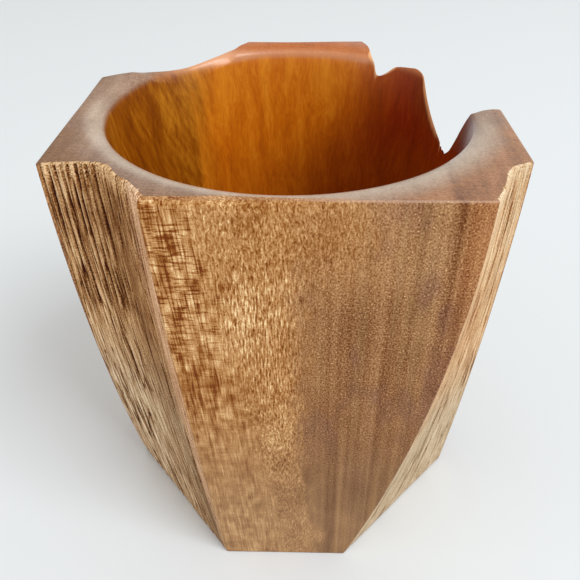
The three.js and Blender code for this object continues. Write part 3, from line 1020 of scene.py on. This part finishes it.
def turned_bore():
    """The bore, oiled to a warm gloss, and the rim, which is end grain with a grey satin sheen; both carry
    painted highlights and painted shade.
    """
    wood = Finish("turned_bore", roughness=0.38, gloss=0.25)
    wood.shader.inputs["Coat Roughness"].default_value = 0.24
    # worn: the edge where the back right scoop breaks into the bore, painted paler both as wear and as a
    # painted highlight
    worn = wood.add("ShaderNodeAttribute", attribute_name="worn").outputs["Fac"]
    drifting = wood.bend((9, 9, 16), 5)
    mottle = wood.noise((0.9, 0.9, 5), 2, where=drifting, shift=3)
    grain = wood.noise((0.4, 0.4, 0.4), 2, shift=13)
    rim = wood.step(wood.z, 101.6, 103.6)
    tooth = wood.product(wood.step(wood.x, 18, 24), wood.step(wood.y, 10, 20))
    coat = wood.product(wood.step(wood.z, 88, 104, 0.15, 0.6), wood.step(wood.x, -46, -28, 0.2, 1),
                        wood.step(tooth, 0, 1, 1, 0.3))
    wood.give(wood.shader.inputs["Coat Weight"], coat)
    colour = wood.mix(rim, bore_colour(wood, drifting, mottle), rim_colour(wood, grain))
    # Painted highlight: a pale band along the back lip's rounding, where it catches the light
    lip_highlight_reach = wood.step(wood.x, -20, -8, 2.4, 1.5)
    lip_highlight = wood.product(wood.band(wood.z, 103, 0.2, lip_highlight_reach), wood.step(wood.y, 12, 26),
                        wood.step(wood.x, -36, -22), wood.step(wood.x, -20, -6, 0.8, 0.4),
                        wood.step(tooth, 0, 1, 1, 0.15))
    colour = wood.mix(lip_highlight, colour, shade(*PAINTED_LIP_HIGHLIGHT))
    # The worn edge: paler wood, and also a painted highlight where it catches the light
    colour = wood.mix(wood.step(worn, 0.25, 0.75, 0, 0.95), colour, shade(*WORN_EDGE_AND_HIGHLIGHT))
    return wood.done(colour, wood.sum(wood.product(grain, rim), wood.product(mottle, 0.5)), 0.015)


def end_grain():
    """The underside and the stepped hole, sawn across the grain."""
    wood = Finish("end_grain", roughness=0.7)
    pores = wood.noise((0.35, 0.35, 0.35), 2)
    rings = wood.noise((18, 2.2, 18), 2, shift=4)
    tone = wood.weigh(0.5, (pores, 0.09), (rings, 0.1))
    return wood.done(wood.tones(tone, SAWN_WOOD), pores, 0.03)


def turned_plug_wood():
    """The plug's redder wood, with its grain across the foot."""
    wood = Finish("turned_plug_wood", roughness=0.4)
    lines = wood.noise((30, 0.9, 30), 2)
    pores = wood.noise((3, 0.25, 3), 2, shift=5)
    tone = wood.weigh(0.5, (lines, 0.12), (pores, 0.06))
    return wood.done(wood.tones(tone, PLUG_WOOD), pores, 0.02)


def pale_floor():
    wood = Finish("pale_floor", roughness=0.7)
    wood.shader.inputs["Base Color"].default_value = FLOOR_COLOUR
    return wood.material


def make_camera():
    """The photograph's viewpoint: close in front, above, and looking down into the mouth."""
    pitch, yaw, roll = (math.radians(angle) for angle in (PITCH, YAW, ROLL))
    ahead = Vector((math.sin(yaw) * math.cos(pitch), math.cos(yaw) * math.cos(pitch), -math.sin(pitch)))
    level = Vector((math.cos(yaw), -math.sin(yaw), 0))
    upright = level.cross(ahead)
    right = level * math.cos(roll) + upright * math.sin(roll)
    up = upright * math.cos(roll) - level * math.sin(roll)
    data = bpy.data.cameras.new("camera")
    data.sensor_width = SENSOR_WIDTH
    data.lens = FOCAL_LENGTH
    data.clip_start = CLIP_START
    camera = bpy.data.objects.new("camera", data)
    turn = Matrix((right, up, -ahead)).transposed()
    camera.matrix_world = Matrix.Translation(Vector(EYE) * MM) @ turn.to_4x4()
    bpy.context.scene.collection.objects.link(camera)
    bpy.context.scene.camera = camera


def make_lamp(name, place, size, power, colour):
    """A soft oblong lamp aimed at the middle of the cup."""
    data = bpy.data.lights.new(name, "AREA")
    data.shape = "RECTANGLE"
    data.size, data.size_y = size
    data.energy = power
    data.color = colour
    lamp = bpy.data.objects.new(name, data)
    lamp.location = place
    aim = Vector((0, 0, HEIGHT / 2)) - Vector(place)
    lamp.rotation_euler = aim.to_track_quat("-Z", "Y").to_euler()
    bpy.context.scene.collection.objects.link(lamp)


def make_floor():
    mesh = bmesh.new()
    bmesh.ops.create_grid(mesh, x_segments=1, y_segments=1, size=FLOOR_HALF)
    floor = finished(mesh, "floor")
    floor.data.materials.append(pale_floor())


def make_world():
    world = bpy.data.worlds.new("studio")
    world.use_nodes = True
    background = world.node_tree.nodes["Background"]
    background.inputs["Color"].default_value = SKY_COLOUR
    background.inputs["Strength"].default_value = SKY_STRENGTH
    bpy.context.scene.world = world


bpy.context.scene.view_settings.view_transform = "Standard"
make_camera()
make_world()
make_floor()
make_lamp("window", **WINDOW)
make_lamp("fill", **FILL)

body = make_body()
for finish in (sanded_face, scooped_corner, turned_bore, end_grain):
    body.data.materials.append(finish())
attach(body, "root")
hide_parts("cup_body")

plug = make_plug()
plug.data.materials.append(turned_plug_wood())
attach(plug, "root")
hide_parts("base_plug")
